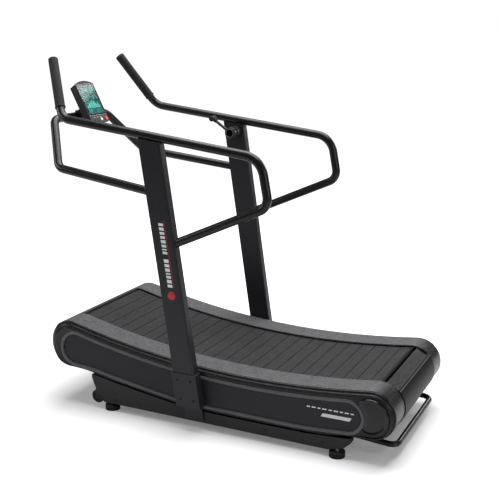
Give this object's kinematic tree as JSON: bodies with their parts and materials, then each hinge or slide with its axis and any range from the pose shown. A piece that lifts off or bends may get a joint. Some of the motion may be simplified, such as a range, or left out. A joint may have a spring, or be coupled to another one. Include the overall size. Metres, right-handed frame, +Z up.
{
  "type": "curved manual treadmill",
  "caption": "Curved manual treadmill with a concave slat belt, side landing strips, leaning uprights, looped handrails, console and resistance lever.",
  "frame": {"origin": "floor point under the centre of the machine's bounding box", "axes": "+X from the console end towards the step-on end, +Y across to the runner's right, +Z up"},
  "size_m": [1.756, 0.846, 1.6115],
  "materials": {
    "tread_rubber": "matt ribbed",
    "dark_aluminium": "anodised",
    "belt_rubber": "matt",
    "cover_plastic": "fine grain",
    "strip_texture": "coarse anti-slip grain",
    "panel_plastic": "fine grain",
    "cap_gloss": "gloss",
    "hood_grey": "satin",
    "frame_paint": "satin powder coat",
    "runner_polymer": "smooth",
    "track_aluminium": "mill",
    "shaft_steel": "ground",
    "pulley_aluminium": "turned",
    "bearing_iron": "cast",
    "magnet_steel": "nickel plate",
    "foot_rubber": "matt",
    "screw_zinc": "zinc plate",
    "wheel_rubber": "matt",
    "tube_paint": "satin powder coat",
    "upright_paint": "satin powder coat",
    "grip_rubber": "soft matt",
    "console_plastic": "fine grain",
    "lens_glass": "clear tinted",
    "lcd_glass": "backlit",
    "key_silver": "satin",
    "key_red": "satin",
    "lever_plastic": "fine grain",
    "lever_silver": "satin"
  },
  "bodies": {
    "frame": {"base_beam_left": "frame_paint", "base_beam_right": "frame_paint", "bracket_strap": "frame_paint", "carriage_pin": "shaft_steel", "carrier_belts": "belt_rubber", "console_bezel": "console_plastic", "console_bracket": "frame_paint", "console_lens": "lens_glass", "console_shell": "console_plastic", "cross_members": "frame_paint", "deck_plates": "frame_paint", "deck_ties": "frame_paint", "end_caps": "cap_gloss", "front_feet": "foot_rubber", "front_foot_studs": "screw_zinc", "front_hood": "hood_grey", "front_tube": "tube_paint", "glide_runners": "runner_polymer", "hand_grips": "grip_rubber", "handrail_left": "tube_paint", "handrail_right": "tube_paint", "landing_strips": "strip_texture", "lcd_module": "lcd_glass", "lever_housing": "lever_plastic", "lift_handle": "tube_paint", "post_sockets": "upright_paint", "rear_hood": "hood_grey", "shaft_bearings": "bearing_iron", "side_cover_left": "cover_plastic", "side_cover_right": "cover_plastic", "side_panels": "panel_plastic", "slat_carriers": "dark_aluminium", "slat_treads_return": "tread_rubber", "slat_treads_run": "tread_rubber", "track_rails": "track_aluminium", "upright_left": "upright_paint", "upright_right": "upright_paint", "wheel_brackets": "frame_paint", "wheel_pins": "screw_zinc"},
    "front_drum": {"front_shaft": "shaft_steel", "front_pulleys": "pulley_aluminium", "brake_disc": "pulley_aluminium"},
    "rear_drum": {"rear_shaft": "shaft_steel", "rear_pulleys": "pulley_aluminium"},
    "brake_carriage": {"magnet_carriage": "frame_paint", "brake_magnets": "magnet_steel"},
    "left_transport_wheel": {"transport_wheel_left": "wheel_rubber"},
    "right_transport_wheel": {"transport_wheel_right": "wheel_rubber"},
    "left_levelling_foot": {"rear_foot_left": "foot_rubber", "rear_foot_screw_left": "screw_zinc"},
    "right_levelling_foot": {"rear_foot_right": "foot_rubber", "rear_foot_screw_right": "screw_zinc"},
    "resistance_lever": {"lever_hub": "lever_plastic", "lever_cap": "lever_silver", "lever_arm": "shaft_steel", "lever_grip": "grip_rubber"},
    "mode_key": {"mode_button": "key_silver"},
    "set_key": {"set_button": "key_silver"},
    "reset_key": {"reset_button": "key_silver"},
    "stop_key": {"stop_button": "key_red"}
  },
  "joints": [
    {"name": "front_drum_spin", "type": "hinge", "parent": "frame", "child": "front_drum", "pos_m": [-0.71, 0, 0.29907], "axis": [0, 1, 0], "continuous": true},
    {"name": "rear_drum_spin", "type": "hinge", "parent": "frame", "child": "rear_drum", "pos_m": [0.767, 0, 0.20923], "axis": [0, 1, 0], "continuous": true},
    {"name": "resistance_lever_turn", "type": "hinge", "parent": "frame", "child": "resistance_lever", "pos_m": [-0.208, 0.3247, 1.236], "axis": [0, -1, 0], "range_deg": [0, 60]},
    {"name": "brake_carriage_swing", "type": "hinge", "parent": "frame", "child": "brake_carriage", "pos_m": [-0.612, 0.265, 0.232], "axis": [0, -1, 0], "range_deg": [0, 12]},
    {"name": "left_transport_wheel_spin", "type": "hinge", "parent": "frame", "child": "left_transport_wheel", "pos_m": [-0.566, -0.357, 0.056], "axis": [0, 1, 0], "continuous": true},
    {"name": "right_transport_wheel_spin", "type": "hinge", "parent": "frame", "child": "right_transport_wheel", "pos_m": [-0.566, 0.357, 0.056], "axis": [0, 1, 0], "continuous": true},
    {"name": "left_foot_height", "type": "slide", "parent": "frame", "child": "left_levelling_foot", "axis": [0, 0, 1], "range_m": [0, 0.005]},
    {"name": "right_foot_height", "type": "slide", "parent": "frame", "child": "right_levelling_foot", "axis": [0, 0, 1], "range_m": [0, 0.005]},
    {"name": "mode_key_press", "type": "slide", "parent": "frame", "child": "mode_key", "axis": [-0.891, 0, -0.454], "range_m": [0, 0.0015], "stiffness_N_per_m": 600},
    {"name": "set_key_press", "type": "slide", "parent": "frame", "child": "set_key", "axis": [-0.891, 0, -0.454], "range_m": [0, 0.0015], "stiffness_N_per_m": 600},
    {"name": "reset_key_press", "type": "slide", "parent": "frame", "child": "reset_key", "axis": [-0.891, 0, -0.454], "range_m": [0, 0.0015], "stiffness_N_per_m": 600},
    {"name": "stop_key_press", "type": "slide", "parent": "frame", "child": "stop_key", "axis": [-0.891, 0, -0.454], "range_m": [0, 0.0015], "stiffness_N_per_m": 600}
  ],
  "couplings": [
    {"joint": "rear_drum_spin", "follows": "front_drum_spin", "ratio": 1},
    {"joint": "brake_carriage_swing", "follows": "resistance_lever_turn", "ratio": 0.2}
  ]
}
